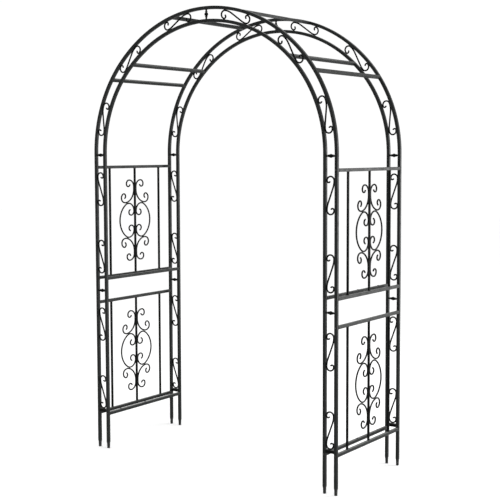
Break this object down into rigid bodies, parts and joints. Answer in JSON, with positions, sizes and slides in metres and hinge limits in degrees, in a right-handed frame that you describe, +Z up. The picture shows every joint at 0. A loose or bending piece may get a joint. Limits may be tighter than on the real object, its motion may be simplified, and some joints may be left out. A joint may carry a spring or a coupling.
{
  "type": "metal trellis arch",
  "caption": "Garden arch of square steel tube: ladder legs and a round top filled with scrolls, side panels of bars and scrollwork, cross bars for climbing plants.",
  "frame": {"origin": "on the ground, at the centre of the footprint", "axes": "+X across the walkway to the right, +Y through the arch to the rear, +Z up"},
  "size_m": [1.524, 0.6144, 2.305],
  "materials": {
    "powder_coat": "semi-gloss charcoal powder coat with fine orange peel",
    "spigot_steel": "plain steel",
    "bolt_steel": "black-coated steel",
    "plug_plastic": "matte black moulding",
    "tip_plastic": "matte black moulding"
  },
  "bodies": {
    "root": {"front_left_lower_outer_leg_tube": "powder_coat", "front_left_lower_inner_leg_tube": "powder_coat", "front_left_upper_outer_leg_tube": "powder_coat", "front_left_upper_inner_leg_tube": "powder_coat", "front_left_outer_arch_tube": "powder_coat", "front_left_inner_arch_tube": "powder_coat", "front_right_lower_outer_leg_tube": "powder_coat", "front_right_lower_inner_leg_tube": "powder_coat", "front_right_upper_outer_leg_tube": "powder_coat", "front_right_upper_inner_leg_tube": "powder_coat", "front_right_outer_arch_tube": "powder_coat", "front_right_inner_arch_tube": "powder_coat", "rear_left_lower_outer_leg_tube": "powder_coat", "rear_left_lower_inner_leg_tube": "powder_coat", "rear_left_upper_outer_leg_tube": "powder_coat", "rear_left_upper_inner_leg_tube": "powder_coat", "rear_left_outer_arch_tube": "powder_coat", "rear_left_inner_arch_tube": "powder_coat", "rear_right_lower_outer_leg_tube": "powder_coat", "rear_right_lower_inner_leg_tube": "powder_coat", "rear_right_upper_outer_leg_tube": "powder_coat", "rear_right_upper_inner_leg_tube": "powder_coat", "rear_right_outer_arch_tube": "powder_coat", "rear_right_inner_arch_tube": "powder_coat", "left_lower_outer_cross_bar": "powder_coat", "left_inner_cross_bar": "powder_coat", "left_upper_outer_cross_bar": "powder_coat", "left_lower_outer_bottom_rail": "powder_coat", "left_lower_outer_top_rail": "powder_coat", "left_lower_inner_bottom_rail": "powder_coat", "left_lower_panel_bars": "powder_coat", "left_lower_panel_scrolls": "powder_coat", "left_upper_outer_bottom_rail": "powder_coat", "left_upper_outer_top_rail": "powder_coat", "left_upper_inner_bottom_rail": "powder_coat", "left_upper_panel_bars": "powder_coat", "left_upper_panel_scrolls": "powder_coat", "right_lower_outer_cross_bar": "powder_coat", "right_inner_cross_bar": "powder_coat", "right_upper_outer_cross_bar": "powder_coat", "right_lower_outer_bottom_rail": "powder_coat", "right_lower_outer_top_rail": "powder_coat", "right_lower_inner_bottom_rail": "powder_coat", "right_lower_panel_bars": "powder_coat", "right_lower_panel_scrolls": "powder_coat", "right_upper_outer_bottom_rail": "powder_coat", "right_upper_outer_top_rail": "powder_coat", "right_upper_inner_bottom_rail": "powder_coat", "right_upper_panel_bars": "powder_coat", "right_upper_panel_scrolls": "powder_coat", "lower_leg_scrolls": "powder_coat", "upper_leg_scrolls": "powder_coat", "arch_scrolls": "powder_coat", "foot_rungs": "powder_coat", "ball_rungs": "powder_coat", "joint_spigots": "spigot_steel", "bolts": "bolt_steel", "threaded_plugs": "plug_plastic", "stake_tips": "tip_plastic"}
  },
  "joints": []
}
